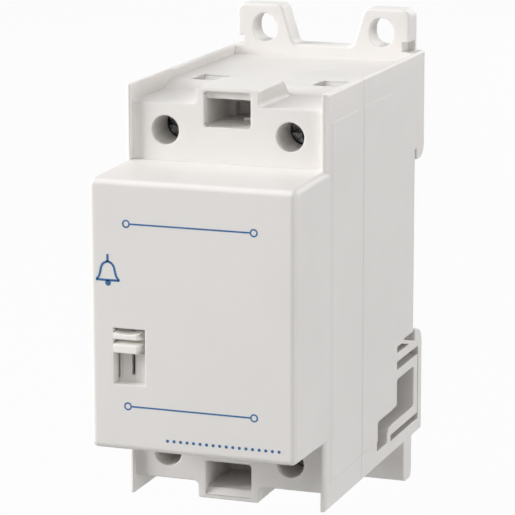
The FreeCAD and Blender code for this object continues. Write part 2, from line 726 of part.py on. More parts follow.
def core_i_stack():
    z0 = mid_z - core_height / 2
    x = core_stack / 2
    return box(-x, x, core_front, core_front + core_length, z0, z0 + core_leg)


def coil_levels():
    """Heights of the bobbin's window ends."""
    low = mid_z - window_height / 2 + bobbin_gap
    return low, low + window_height - 2 * bobbin_gap


def ring(inner_x, inner_y, outer_x, outer_y, z0, z1, corner):
    """Upright rectangular ring round the centre leg, with rounded outer corners."""
    outer = box(-outer_x, outer_x, core_middle - outer_y, core_middle + outer_y, z0, z1)
    outer = rounded(outer, corner, lambda b: b.ZLength > (z1 - z0) / 2)
    inner = box(-inner_x, inner_x, core_middle - inner_y, core_middle + inner_y, z0 - over, z1 + over)
    return outer.cut(inner)


def tube_half():
    return core_stack / 2 + bobbin_gap, core_centre_leg / 2 + bobbin_gap


def bobbin():
    low, high = coil_levels()
    x, y = tube_half()
    tube = ring(x, y, x + bobbin_wall, y + bobbin_wall, low, high, 0.4)
    flange_y = core_length / 2 - core_leg - bobbin_gap
    flanges = [ring(x, y, bobbin_half_width, flange_y, z, z + bobbin_flange, 1.0)
               for z in (low, (low + high - bobbin_flange) / 2, high - bobbin_flange)]
    return joined(tube, flanges)


def winding_levels(side):
    low, high = coil_levels()
    middle = (low + high) / 2
    near_z = middle + side * (bobbin_flange / 2 + winding_gap)
    far_z = (high if side > 0 else low) - side * (bobbin_flange + winding_gap)
    return span(near_z, far_z)


def winding(side):
    x, y = tube_half()
    z0, z1 = winding_levels(side)
    return ring(x + bobbin_wall, y + bobbin_wall, coil_half_width - tape_thick,
                y + coil_depth_in_window - tape_thick, z0, z1, winding_round)


def winding_tape(side):
    _, y = tube_half()
    z0, z1 = winding_levels(side)
    outer_y = y + coil_depth_in_window
    wrap = ring(1, 1, coil_half_width, outer_y, z0, z1, winding_round + tape_thick)
    core = box(-coil_half_width + tape_thick, coil_half_width - tape_thick,
               core_middle - outer_y + tape_thick, core_middle + outer_y - tape_thick, z0 - over, z1 + over)
    core = rounded(core, winding_round, lambda b: b.ZLength > 1)
    return wrap.cut(core)


def thermal_cutout():
    z0, z1 = winding_levels(-1)
    z = (z0 + z1) / 2
    x = coil_half_width + cutout_r
    start = core_middle - cutout_length / 2
    return rod_y(-x, z, cutout_r, start, start + cutout_length)


def lead_section(centre, along):
    """Eight-sided section of a lead, square to its run."""
    across = along.cross(vec(1, 0, 0))
    if across.Length < 0.1:
        across = along.cross(vec(0, 0, 1))
    across = across.normalize() * lead_r
    third = along.cross(across).normalize() * lead_r
    ring_points = []
    for i in range(lead_sides):
        angle = 2 * math.pi * (i + 0.5) / lead_sides
        ring_points.append(centre + across * math.cos(angle) + third * math.sin(angle))
    return Part.Face(Part.makePolygon(ring_points + ring_points[:1]))


def bent_lead(points):
    """Lead through a few points, straight runs joined by tangent bends."""
    pts = [vec(*p) for p in points]
    section = lead_section(pts[0], (pts[1] - pts[0]).normalize())
    pieces = []
    start = pts[0]
    for before, here, after in zip(pts, pts[1:], pts[2:]):
        a, b = before - here, after - here
        turn = math.pi - a.getAngle(b)
        cut = bend_share * min(a.Length, b.Length)
        radius = cut / math.tan(turn / 2)
        back, ahead = a.normalize(), b.normalize()
        first, last = here + back * cut, here + ahead * cut
        centre = here + (back + ahead).normalize() * math.hypot(cut, radius)
        axis, angle = ahead.cross(back), math.degrees(turn)
        pieces.append(section.extrude(first - start))
        section.translate(first - start)
        pieces.append(section.revolve(centre, axis, angle))
        section.rotate(centre, axis, angle)
        start = last
    pieces.append(section.extrude(pts[-1] - start))
    return joined(pieces[0], pieces[1:])


def bar_end(x, side):
    """Point behind a contact bar's inner end, where its lead is soldered."""
    return x, bar_front + bar_thick + lead_r + solder_gap, height(side, shelf_half - lead_from_shelf)


def coil_lead(x, side):
    """Lead from a contact bar down to the bobbin's end flange."""
    bx, by, bz = bar_end(x, side)
    low, high = coil_levels()
    flange = (high if side > 0 else low) + side * solder_gap
    return bent_lead([(bx, by, bz), (bx, by, bz - side * lead_start),
                      (bx, by + lead_step, flange + side * lead_end), (bx, by + lead_step, flange)])


def live_lead():
    """Lead from the lower left bar forward and up to the switch base."""
    bx, _, bz = bar_end(-screw_x, -1)
    front = bar_front - lead_r - solder_gap
    _, _, _, base_front = switch_depths()
    y = base_front + switch_base_thick + lead_r + solder_gap
    return bent_lead([(bx, front, bz), (bx - live_side, front - live_back, bz + live_rise),
                      (bx - live_front_side, y + live_front, bz + live_front_rise),
                      (switch_x, y, bz + live_turn_rise), (switch_x, y, pocket_bottom)])


def cutout_lead():
    """Lead from the switch base back to the thermal cutout."""
    z0, z1 = winding_levels(-1)
    z = (z0 + z1) / 2
    _, _, _, base_front = switch_depths()
    y = base_front + switch_base_thick + lead_r + solder_gap
    end = core_middle - cutout_length / 2 - solder_gap
    x = -(coil_half_width + cutout_r)
    return bent_lead([(switch_x, y, pocket_top), (switch_x - cutout_side, y + cutout_step, z - cutout_drop),
                      (x, y + cutout_run, z), (x, end, z)])


def terminal_name(x, side):
    return ("upper" if side > 0 else "lower") + "_" + ("left" if x < 0 else "right")


def build():
    parts = {
        "front_cover": front_cover(),
        "rear_housing": rear_housing(),
        "switch_slider": switch_slider(),
        "switch_contact_bridge": contact_bridge(),
        "switch_fixed_contacts": fixed_contacts(),
        "switch_base": switch_base(),
        "core_e_stack": core_e_stack(),
        "core_i_stack": core_i_stack(),
        "bobbin": bobbin(),
        "primary_winding": winding(-1),
        "secondary_winding": winding(1),
        "primary_tape": winding_tape(-1),
        "secondary_tape": winding_tape(1),
        "thermal_cutout": thermal_cutout(),
        "live_lead": live_lead(),
        "cutout_lead": cutout_lead(),
        "neutral_lead": coil_lead(screw_x, -1),
        "secondary_lead_left": coil_lead(-screw_x, 1),
        "secondary_lead_right": coil_lead(screw_x, 1),
    }
    for side in (1, -1):
        for x in (-screw_x, screw_x):
            name = terminal_name(x, side)
            parts["screw_" + name] = terminal_screw(x, side)
            parts["cage_" + name] = wire_cage(x, side)
            parts["contact_bar_" + name] = contact_bar(x, side)
    return parts


os.makedirs("parts", exist_ok=True)
for node, shape in build().items():
    shape.translate(vec(0, -rail_seat, -rail_middle))
    shape.exportStep("parts/" + node + ".step")
    size = shape.BoundBox
    print("%-24s solids %d valid %s volume %.1f  x %.2f %.2f  y %.2f %.2f  z %.2f %.2f" % (
        node, len(shape.Solids), shape.isValid(), shape.Volume, size.XMin, size.XMax,
        size.YMin, size.YMax, size.ZMin, size.ZMax))
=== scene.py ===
import json
import math
import bmesh
import bpy
from mathutils import Matrix, Vector


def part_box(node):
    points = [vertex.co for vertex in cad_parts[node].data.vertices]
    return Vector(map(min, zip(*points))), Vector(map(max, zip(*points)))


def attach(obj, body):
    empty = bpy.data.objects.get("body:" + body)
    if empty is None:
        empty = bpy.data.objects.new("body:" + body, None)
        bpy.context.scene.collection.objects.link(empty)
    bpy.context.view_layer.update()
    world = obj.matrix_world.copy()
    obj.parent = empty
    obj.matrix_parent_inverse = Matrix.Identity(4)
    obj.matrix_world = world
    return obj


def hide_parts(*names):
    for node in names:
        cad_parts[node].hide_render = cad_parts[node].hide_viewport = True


# A modular bell transformer in light grey moulded plastic, on plain white.
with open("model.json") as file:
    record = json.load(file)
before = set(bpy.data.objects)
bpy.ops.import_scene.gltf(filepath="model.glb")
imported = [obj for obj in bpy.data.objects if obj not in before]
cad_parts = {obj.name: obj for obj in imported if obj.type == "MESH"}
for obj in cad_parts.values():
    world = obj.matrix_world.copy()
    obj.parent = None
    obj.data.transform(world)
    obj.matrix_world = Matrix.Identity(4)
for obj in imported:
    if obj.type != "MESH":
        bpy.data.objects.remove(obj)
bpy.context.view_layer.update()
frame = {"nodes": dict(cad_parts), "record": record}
MM = 0.001
front_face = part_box("front_cover")[0][1]
housing_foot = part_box("rear_housing")[0][2]
seat_depth = 65.0 * MM           # nose front to rail seat, the origin of the frame
nose_middle = -0.65 * MM         # height of the nose's middle in the frame


def mm(x, y, z):
    """Point given in millimetres from the nose's front centre, in the frame's metres."""
    return Vector((x * MM, y * MM - seat_depth, z * MM + nose_middle))


def linear(hex_colour):
    """sRGB hex colour as linear red, green and blue, with an alpha of 1."""
    values = [int(hex_colour[i:i + 2], 16) / 255 for i in (1, 3, 5)]
    return tuple(v / 12.92 if v <= 0.04045 else ((v + 0.055) / 1.055) ** 2.4 for v in values) + (1.0,)


# Materials

def add_node(tree, kind, settings=(), links=()):
    """Add one node. A setting is a property, a socket by name or number, or the stops of a colour
    ramp. A link comes from a socket, or from a node's first output."""
    node = tree.nodes.new(kind)
    for key, value in dict(settings).items():
        if key == "stops":
            for stop, (position, hex_colour) in zip(node.color_ramp.elements, value):
                stop.color = linear(hex_colour)
                stop.position = position
        elif isinstance(key, int) or key in node.inputs:
            node.inputs[key].default_value = value
        else:
            setattr(node, key, value)
    for key, source in dict(links).items():
        socket = source.outputs[0] if isinstance(source, bpy.types.Node) else source
        tree.links.new(socket, node.inputs[key])
    return node


def new_material(name):
    material = bpy.data.materials.new(name)
    material.use_nodes = True
    material.node_tree.nodes.clear()
    return material, material.node_tree


def finish_surface(tree, colour, roughness, relief, settings, edge_mm=None):
    """Close a material. Roughness is a pattern with its low and high value, relief is a pattern with
    its depth in millimetres and its strength, and edge_mm is the small radius that a mould or a
    press leaves on every edge."""
    pattern, low, high = roughness
    rough = add_node(tree, "ShaderNodeMapRange",
                     {"From Min": 0.3, "From Max": 0.7, "To Min": low, "To Max": high}, {"Value": pattern})
    height, depth_mm, strength = relief
    raised = {"Height": height}
    if edge_mm is not None:
        raised["Normal"] = add_node(tree, "ShaderNodeBevel", {"samples": 6, "Radius": edge_mm * MM})
    normal = add_node(tree, "ShaderNodeBump", {"Strength": strength, "Distance": depth_mm * MM}, raised)
    shader = add_node(tree, "ShaderNodeBsdfPrincipled", settings,
                      {"Base Color": colour, "Roughness": rough, "Normal": normal})
    add_node(tree, "ShaderNodeOutputMaterial", links={"Surface": shader})


def moulded_plastic(name, pale, deep, grain_mm, grain_depth, roughness, edge_mm):
    """Injection-moulded thermoplastic: an even body colour with a faint cloudiness, a fine
    spark-eroded grain that scatters the highlights, and soft bright edges."""
    cloud_mm, sheen_mm, sheen_spread = 18.0, 6.0, 0.04
    material, tree = new_material(name)
    place = add_node(tree, "ShaderNodeTexCoord").outputs["Object"]
    cloud = add_node(tree, "ShaderNodeTexNoise", {"Scale": 1 / (cloud_mm * MM), "Detail": 1.0},
                     {"Vector": place})
    grain = add_node(tree, "ShaderNodeTexNoise", {"Scale": 1 / (grain_mm * MM), "Detail": 3.0},
                     {"Vector": place})
    sheen = add_node(tree, "ShaderNodeTexNoise", {"Scale": 1 / (sheen_mm * MM), "Detail": 2.0},
                     {"Vector": place})
    colour = add_node(tree, "ShaderNodeValToRGB", {"stops": ((0.3, deep), (0.7, pale))}, {"Fac": cloud})
    finish_surface(tree, colour, (sheen, roughness - sheen_spread, roughness + sheen_spread),
                   (grain, grain_depth, 0.6),
                   {"IOR": 1.58, "Subsurface Weight": 0.12, "Subsurface Scale": 1.2 * MM,
                    "Subsurface Radius": (1.0, 0.9, 0.8)}, edge_mm)
    return material


def turned_zinc_steel(screw_x, middle_z, half_spread):
    """Zinc-plated steel screws: turning rings round the axis of each of the four heads, and a cool
    grey darkened as painted shade for the heads deep in their bores, with painted glints as bright flecks."""
    ring_pitch, cloud_mm, sheen_mm = 0.22 * MM, 0.7, 0.5
    material, tree = new_material("turned_zinc_steel")
    place = add_node(tree, "ShaderNodeTexCoord").outputs["Object"]
    apart = add_node(tree, "ShaderNodeSeparateXYZ", links={"Vector": place})
    reach = []
    for axis, centre, offset in (("X", 0.0, screw_x), ("Z", middle_z, half_spread)):
        moved = add_node(tree, "ShaderNodeMath", {"operation": "SUBTRACT", 1: centre},
                         {0: apart.outputs[axis]})
        size = add_node(tree, "ShaderNodeMath", {"operation": "ABSOLUTE"}, {0: moved})
        reach.append(add_node(tree, "ShaderNodeMath", {"operation": "SUBTRACT", 1: offset}, {0: size}))
    flat = add_node(tree, "ShaderNodeCombineXYZ", links={"X": reach[0], "Y": reach[1]})
    radius = add_node(tree, "ShaderNodeVectorMath", {"operation": "LENGTH"}, {0: flat})
    turned = add_node(tree, "ShaderNodeMath", {"operation": "MULTIPLY", 1: 2 * math.pi / ring_pitch},
                      {0: radius.outputs["Value"]})
    rings = add_node(tree, "ShaderNodeMath", {"operation": "SINE"}, {0: turned})
    cloud = add_node(tree, "ShaderNodeTexNoise", {"Scale": 1 / (cloud_mm * MM), "Detail": 4.0},
                     {"Vector": place})
    sheen = add_node(tree, "ShaderNodeTexNoise", {"Scale": 1 / (sheen_mm * MM), "Detail": 3.0},
                     {"Vector": place})
    # Painted light: the dark end of this ramp is painted shade for the heads deep in their bores, and its
    # bright flecks are painted glints.
    colour = add_node(tree, "ShaderNodeValToRGB", {"stops": ((0.35, "#565758"), (0.68, "#b4b5b3"))},
                      {"Fac": cloud})
    finish_surface(tree, colour, (sheen, 0.2, 0.45), (rings, 0.006, 0.5), {"Metallic": 1.0}, 0.15)
    return material


def rolled_strip(name, deep, pale, drawn_out, line_mm, stain_mm, stain_detail, roughness, edge_mm):
    """Rolled metal strip: stains of the metal's own colour under fine lines, drawn out along the way
    that it was rolled."""
    material, tree = new_material(name)
    place = add_node(tree, "ShaderNodeTexCoord").outputs["Object"]
    rolled = add_node(tree, "ShaderNodeMapping", {"Scale": drawn_out}, {"Vector": place})
    lines = add_node(tree, "ShaderNodeTexNoise", {"Scale": 1 / (line_mm * MM), "Detail": 2.0},
                     {"Vector": rolled})
    stain = add_node(tree, "ShaderNodeTexNoise", {"Scale": 1 / (stain_mm * MM), "Detail": stain_detail},
                     {"Vector": place})
    colour = add_node(tree, "ShaderNodeValToRGB", {"stops": ((0.3, deep), (0.7, pale))}, {"Fac": stain})
    finish_surface(tree, colour, (lines,) + roughness, (lines, 0.004, 0.5), {"Metallic": 1.0}, edge_mm)
    return material


def laminated_steel():
    """Silicon steel laminations: thin joint lines along the stack, oily dark grey."""
    sheet, joint_share, cloud_mm = 0.5 * MM, 0.16, 4.0
    material, tree = new_material("laminated_silicon_steel")
    place = add_node(tree, "ShaderNodeTexCoord").outputs["Object"]
    across = add_node(tree, "ShaderNodeSeparateXYZ", links={"Vector": place})
    count = add_node(tree, "ShaderNodeMath", {"operation": "DIVIDE", 1: sheet}, {0: across.outputs["X"]})
    part = add_node(tree, "ShaderNodeMath", {"operation": "FRACT"}, {0: count})
    ridge = add_node(tree, "ShaderNodeMath", {"operation": "PINGPONG", 1: 0.5}, {0: part})
    joint = add_node(tree, "ShaderNodeMapRange", {"From Min": 0.0, "From Max": joint_share},
                     {"Value": ridge})
    cloud = add_node(tree, "ShaderNodeTexNoise", {"Scale": 1 / (cloud_mm * MM), "Detail": 3.0},
                     {"Vector": place})
    steel = add_node(tree, "ShaderNodeValToRGB", {"stops": ((0.3, "#4a4b4e"), (0.7, "#74767a"))},
                     {"Fac": cloud})
    jointed = add_node(tree, "ShaderNodeMix", {"data_type": "RGBA", 6: linear("#1f1f20")},
                       {0: joint, 7: steel})
    finish_surface(tree, jointed.outputs[2], (cloud, 0.35, 0.55), (joint, 0.05, 0.7), {"Metallic": 1.0})
    return material


def enamelled_wire():
    """Copper winding: level turns of enamelled wire, reddish brown with a varnish gloss, and painted shade
    that darkens the grooves between the turns.
    """
    wire_pitch, sheen_mm = 0.32 * MM, 3.0
    material, tree = new_material("enamelled_copper_wire")
    place = add_node(tree, "ShaderNodeTexCoord").outputs["Object"]
    height = add_node(tree, "ShaderNodeSeparateXYZ", links={"Vector": place})
    turn = add_node(tree, "ShaderNodeMath", {"operation": "MULTIPLY", 1: 2 * math.pi / wire_pitch},
                    {0: height.outputs["Z"]})
    wave = add_node(tree, "ShaderNodeMath", {"operation": "SINE"}, {0: turn})
    crown = add_node(tree, "ShaderNodeMapRange", {"From Min": -1.0, "From Max": 1.0}, {"Value": wave})
    sheen = add_node(tree, "ShaderNodeTexNoise", {"Scale": 1 / (sheen_mm * MM), "Detail": 2.0},
                     {"Vector": place})
    # Painted shade: the colour darkens from each turn's crown into the groove beside the next.
    colour = add_node(tree, "ShaderNodeValToRGB", {"stops": ((0.1, "#5a2412"), (0.8, "#b8663a"))},
                      {"Fac": crown})
    finish_surface(tree, colour, (sheen, 0.22, 0.4), (crown, 0.12, 0.8),
                   {"Metallic": 0.7, "Coat Weight": 0.4, "Coat Roughness": 0.2})
    return material


def polyester_tape():
    """Yellow polyester tape over the windings: glossy film with shallow wrinkles."""
    wrinkle_mm = 2.5
    material, tree = new_material("polyester_tape")
    place = add_node(tree, "ShaderNodeTexCoord").outputs["Object"]
    wound = add_node(tree, "ShaderNodeMapping", {"Scale": (1.0, 1.0, 0.3)}, {"Vector": place})
    wrinkle = add_node(tree, "ShaderNodeTexNoise", {"Scale": 1 / (wrinkle_mm * MM), "Detail": 2.0},
                       {"Vector": wound})
    colour = add_node(tree, "ShaderNodeValToRGB", {"stops": ((0.3, "#c79a1e"), (0.7, "#e6c04a"))},
                      {"Fac": wrinkle})
    finish_surface(tree, colour, (wrinkle, 0.18, 0.3), (wrinkle, 0.08, 0.6), {"IOR": 1.6})
    return material


def drawn_can():
    """Drawn metal can of the thermal cutout, satin with lengthwise drawing lines."""
    line_mm = 0.15
    material, tree = new_material("drawn_metal_can")
    place = add_node(tree, "ShaderNodeTexCoord").outputs["Object"]
    drawn = add_node(tree, "ShaderNodeMapping", {"Scale": (1.0, 0.05, 1.0)}, {"Vector": place})
    lines = add_node(tree, "ShaderNodeTexNoise", {"Scale": 1 / (line_mm * MM), "Detail": 2.0},
                     {"Vector": drawn})
    colour = add_node(tree, "ShaderNodeValToRGB", {"stops": ((0.3, "#a3a19b"), (0.7, "#cbc9c3"))},
                      {"Fac": lines})
    finish_surface(tree, colour, (lines, 0.25, 0.4), (lines, 0.004, 0.5), {"Metallic": 1.0})
    return material


def extruded_insulation(name, pale, deep):
    """Extruded wire insulation: even colour with a faint orange-peel gloss."""
    cloud_mm, peel_mm = 3.0, 0.5
    material, tree = new_material(name)
    place = add_node(tree, "ShaderNodeTexCoord").outputs["Object"]
    cloud = add_node(tree, "ShaderNodeTexNoise", {"Scale": 1 / (cloud_mm * MM), "Detail": 2.0},
                     {"Vector": place})
    peel = add_node(tree, "ShaderNodeTexNoise", {"Scale": 1 / (peel_mm * MM), "Detail": 2.0},
                    {"Vector": place})
    colour = add_node(tree, "ShaderNodeValToRGB", {"stops": ((0.3, deep), (0.7, pale))}, {"Fac": cloud})
    finish_surface(tree, colour, (peel, 0.38, 0.5), (peel, 0.01, 0.5), {"IOR": 1.53})
    return material


def pad_print_ink():
    """Pad-printed ink: dense blue, a little thinner where the pad lifted."""
    film_mm = 0.8
    material, tree = new_material("pad_print_ink")
    place = add_node(tree, "ShaderNodeTexCoord").outputs["Object"]
    film = add_node(tree, "ShaderNodeTexNoise", {"Scale": 1 / (film_mm * MM), "Detail": 3.0},
                    {"Vector": place})
    colour = add_node(tree, "ShaderNodeValToRGB", {"stops": ((0.3, "#235a8c"), (0.7, "#3570a6"))},
                      {"Fac": film})
    finish_surface(tree, colour, (film, 0.4, 0.55), (film, 0.004, 0.4), {"IOR": 1.5})
    return material


upper_low, upper_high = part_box("screw_upper_right")
lower_low, lower_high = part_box("screw_lower_right")
screw_x = (upper_low[0] + upper_high[0]) / 2
screw_top = (upper_low[2] + upper_high[2]) / 2
screw_bottom = (lower_low[2] + lower_high[2]) / 2

housing = moulded_plastic("moulded_polycarbonate", "#e9e6e3", "#e6e3e0", grain_mm=0.45,
                          grain_depth=0.012, roughness=0.42, edge_mm=0.35)
# The knob's plastic is paler than the housing's as painted light: it stands in for the light on the knob's
# scooped top inside its pocket.
knob_plastic = moulded_plastic("moulded_polyamide_knob", "#f6f3ee", "#f2efe9", grain_mm=0.4,
                               grain_depth=0.01, roughness=0.38, edge_mm=0.2)
inner_plastic = moulded_plastic("glass_filled_nylon", "#cfc7b4", "#c3baa5", grain_mm=0.3,
                                grain_depth=0.03, roughness=0.5, edge_mm=0.2)
ink = pad_print_ink()
# Zinc-plated steel strip of the wire cages, with a soft sheen
cage_steel = rolled_strip("plated_steel_strip", "#9c9d9c", "#c4c5c3", drawn_out=(1.0, 0.08, 1.0),
                          line_mm=0.12, stain_mm=2.2, stain_detail=2.0, roughness=(0.28, 0.44),
                          edge_mm=0.2)
# Cartridge brass, warm yellow with darker handling stains
brass = rolled_strip("rolled_brass", "#a98a46", "#d2b36a", drawn_out=(1.0, 1.0, 0.06), line_mm=0.1,
                     stain_mm=1.8, stain_detail=3.0, roughness=(0.26, 0.42), edge_mm=0.15)
slot_materials = {
    "housing_plastic": housing,
    "switch_plastic": knob_plastic,
    "inner_plastic": inner_plastic,
    "terminal_steel": turned_zinc_steel(screw_x, (screw_top + screw_bottom) / 2,
                                        (screw_top - screw_bottom) / 2),
    "contact_brass": brass,
    "core_steel": laminated_steel(),
    "winding_copper": enamelled_wire(),
    "winding_tape": polyester_tape(),
    "cutout_metal": drawn_can(),
    "lead_brown": extruded_insulation("brown_insulation", "#5a3a26", "#4a2d1c"),
    "lead_blue": extruded_insulation("blue_insulation", "#2f5fa8", "#244d8c"),
    "lead_white": extruded_insulation("white_insulation", "#e8e6e0", "#dddbd4")}

for part in frame["record"]["subparts"]:
    node_mesh = frame["nodes"][part["node"]].data
    is_cage = part["node"].startswith("cage_")
    node_mesh.materials.clear()
    node_mesh.materials.append(cage_steel if is_cage else slot_materials[part["material_slot"]])


# Finer forms of the moulding, in millimetres from the nose's front

half_width = 17.8
side_middle = 0.4                # height of the body's middle
terminal_face = 16.8             # depth of the faces that hold the access bores
rear_deck, dish_depth = 33.45, 0.4
dish_x, dish_y = 9.3, 45.5
entry_x, entry_half_width, entry_back = 10.95, 2.45, 41.9
window_half_width = 4.1
window_in, window_out, lintel_in = 28.55, 34.5, 33.2
lintel_depth = 1.0
flush = 0.004                    # how far a flush piece stays behind the face round it
clear = 0.01                     # how far a piece stays off a wall beside it


def finish_piece(shape, name, body, material):
    """Turn a bmesh into a named piece that rides on a body."""
    bmesh.ops.remove_doubles(shape, verts=shape.verts, dist=1e-7)
    bmesh.ops.recalc_face_normals(shape, faces=shape.faces)
    mesh = bpy.data.meshes.new(name)
    shape.to_mesh(mesh)
    shape.free()
    piece = bpy.data.objects.new(name, mesh)
    bpy.context.scene.collection.objects.link(piece)
    piece.data.materials.append(material)
    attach(piece, body)
    return piece


def finish_moulding(shape, name):
    """Turn a bmesh into a named piece of the housing's own plastic."""
    finish_piece(shape, name, "housing", housing)


def prism(shape, corners, along):
    """Closed prism: a face through the corners, drawn out along a vector in millimetres."""
    face = shape.faces.new([shape.verts.new(mm(*corner)) for corner in corners])
    drawn = bmesh.ops.extrude_face_region(shape, geom=[face])
    moved = [v for v in drawn["geom"] if isinstance(v, bmesh.types.BMVert)]
    bmesh.ops.translate(shape, verts=moved, vec=Vector(along) * MM)


def prism_x(shape, outline, x0, x1):
    """Prism across the housing, from (depth, height) points."""
    prism(shape, [(x0, y, z) for y, z in outline], (x1 - x0, 0, 0))


def block_x(shape, x0, x1, y0, y1, z0, z1):
    prism_x(shape, [(y0, z0), (y1, z0), (y1, z1), (y0, z1)], x0, x1)


def all_of(shape):
    return shape.verts[:] + shape.edges[:] + shape.faces[:]


def level(side, reach):
    """Height of something that lies this far above or below the body's middle."""
    return side_middle + side * reach


def keep_side(shape, place, normal):
    """Cut a closed shape with a plane, keep what lies on the normal's side and close the cut."""
    bmesh.ops.bisect_plane(shape, geom=all_of(shape), plane_co=place, plane_no=normal, clear_inner=True)
    bmesh.ops.holes_fill(shape, edges=[e for e in shape.edges if e.is_boundary], sides=0)


def bowl_ring(x, y, side):
    """Flat bowl in a round dish, flush at the rim and deepest in the middle. Its root is sunk in the deck."""
    root, root_radius, steps = 0.9, 7.5, 72
    bowl = [(7.0, flush), (6.0, 0.09), (3.2, 0.27), (1.0, 0.34), (0.0, 0.35)]
    section = [(0.0, root), (root_radius, root)] + bowl
    shape = bmesh.new()
    ring = [shape.verts.new(mm(x + radius, y, level(side, rear_deck - drop))) for radius, drop in section]
    edges = [shape.edges.new(pair) for pair in zip(ring, ring[1:])]
    bmesh.ops.spin(shape, geom=ring + edges, cent=mm(x, y, 0), axis=(0, 0, 1), angle=2 * math.pi,
                   steps=steps, use_merge=True)
    bmesh.ops.remove_doubles(shape, verts=shape.verts, dist=1e-7)
    return shape


def dish_lining(name, side_x, side):
    """Soft bowl in the shallow dish behind a wire entry, open over the entry's mouth. It is three
    closed parts: one behind the mouth and one on each side of it."""
    mouth_gap = 0.02
    back = mm(0, entry_back + mouth_gap, 0)
    left = mm(side_x * entry_x - entry_half_width - mouth_gap, 0, 0)
    right = mm(side_x * entry_x + entry_half_width + mouth_gap, 0, 0)
    parts = [[(back, (0, 1, 0))], [(back, (0, -1, 0)), (left, (-1, 0, 0))],
             [(back, (0, -1, 0)), (right, (1, 0, 0))]]
    whole = bmesh.new()
    for cuts in parts:
        shape = bowl_ring(side_x * dish_x, dish_y, side)
        for place, normal in cuts:
            keep_side(shape, place, normal)
        part_mesh = bpy.data.meshes.new("bowl_part")
        shape.to_mesh(part_mesh)
        shape.free()
        whole.from_mesh(part_mesh)
        bpy.data.meshes.remove(part_mesh)
    finish_moulding(whole, name)


def entry_funnels():
    """Sloping lead-in at the back of each wire entry, which guides the wire into its cage."""
    reach, heel = 1.3, 0.2
    front = entry_back - reach
    shape = bmesh.new()
    for side in (-1, 1):
        top = rear_deck - dish_depth
        foot = top - reach
        outline = [(entry_back, level(side, top)), (front, level(side, foot)),
                   (front, level(side, foot - heel)), (entry_back, level(side, foot - heel))]
        for side_x in (-1, 1):
            middle = side_x * entry_x
            prism_x(shape, outline, middle - entry_half_width + clear, middle + entry_half_width - clear)
    finish_moulding(shape, "entry_funnels")


def window_corners():
    """Rounded corners of the two windows."""
    radius, steps, sunk = 0.65, 6, 0.04
    front = terminal_face + flush
    shape = bmesh.new()
    for side in (-1, 1):
        for side_x in (-1, 1):
            for height, inward in ((window_in, 1), (window_out, -1)):
                x, z = side_x * window_half_width, level(side, height)
                turn_x, turn_z = x - side_x * radius, z + side * inward * radius
                outer_x, outer_z = x + side_x * sunk, z - side * inward * sunk
                corners = [(outer_x, front, outer_z), (outer_x, front, turn_z)]
                for i in range(steps + 1):
                    angle = math.pi / 2 * i / steps
                    corners.append((turn_x + side_x * radius * math.cos(angle), front,
                                    turn_z - side * inward * radius * math.sin(angle)))
                corners.append((turn_x, front, outer_z))
                prism(shape, corners, (0, lintel_depth, 0))
    finish_moulding(shape, "window_corners")


def window_sill():
    """Sloping sill of the lower window, from its front edge up to the tunnel's floor."""
    sunk, lip_depth, lip_height = 0.02, 0.08, 0.16
    front, back = terminal_face + flush, terminal_face + lintel_depth
    low, high = level(-1, window_out - sunk), level(-1, lintel_in - sunk)
    outline = [(back + sunk, low), (front, low), (front + lip_depth, low + lip_height), (back + sunk, high)]
    shape = bmesh.new()
    prism_x(shape, outline, sunk - window_half_width, window_half_width - sunk)
    finish_moulding(shape, "window_sill")


def window_ledges():
    """Low ledge at the back of each window's floor, and the wall that closes its narrow end."""
    right = window_half_width - clear
    ledge_left, ledge_front, ledge_back, ledge_height = 0.3, 24.0, 28.79, 0.65
    wall_left, wall_front, wall_back, wall_reach = -2.89, 30.2, 30.8, 30.99
    floor = window_in + clear
    shape = bmesh.new()
    for side in (-1, 1):
        low, high = sorted((level(side, floor), level(side, floor + ledge_height)))
        block_x(shape, ledge_left, right, ledge_front, ledge_back, low, high)
        low, high = sorted((level(side, floor), level(side, wall_reach)))
        block_x(shape, wall_left, right, wall_front, wall_back, low, high)
    finish_moulding(shape, "window_ledges")


field_proud, field_front = 0.12, 18.5          # raised field of each side wall
field_low, field_high = -30.0, 30.6
wall_low, wall_high = -34.2, 35.0
parting = 34.85                                # depth of the seam between the two halves


def field_ramps():
    """Gentle rise from the side wall to the front edge of its raised field."""
    reach, root, root_reach, lap = 1.3, 0.8, 0.5, 0.02
    shape = bmesh.new()
    for side in (-1, 1):
        corners = [(side * (half_width - root), field_front - reach - root_reach, field_low),
                   (side * (half_width - field_proud - flush), field_front - reach, field_low),
                   (side * (half_width - flush), field_front + lap, field_low),
                   (side * (half_width - flush), field_front + root_reach, field_low),
                   (side * (half_width - root), field_front + root_reach, field_low)]
        prism(shape, corners, (0, 0, field_high - field_low))
    finish_moulding(shape, "field_ramps")


def parting_beads():
    """Tongue of the rear half in the seam of each side wall, a hair below the surface."""
    hair, half_thick, deep = 0.03, 0.2, 0.5
    stretches = ((0.0, wall_low, field_low), (field_proud, field_low, field_high),
                 (0.0, field_high, wall_high))
    shape = bmesh.new()
    for side in (-1, 1):
        for proud, low, high in stretches:
            out = half_width - field_proud + proud - hair
            inner, outer = sorted((side * (half_width - deep), side * out))
            block_x(shape, inner, outer, parting - half_thick, parting + half_thick, low, high)
    finish_moulding(shape, "parting_beads")


pocket_left, pocket_floor = -13.6, 2.1         # pocket of the switch knob, and the depth of its floor
knob_back = 1.97                               # depth where the knob's front ends and its leg begins


def slot_filler():
    """Leaves only a thin line of the slot beside the pocket's floor."""
    line_width, filler_end, filler_depth = 0.23, 0.56, 0.95
    low, high = -10.79, -2.31
    shape = bmesh.new()
    block_x(shape, pocket_left + line_width, pocket_left + filler_end,
            pocket_floor + clear, pocket_floor + filler_depth, low, high)
    finish_moulding(shape, "slot_filler")


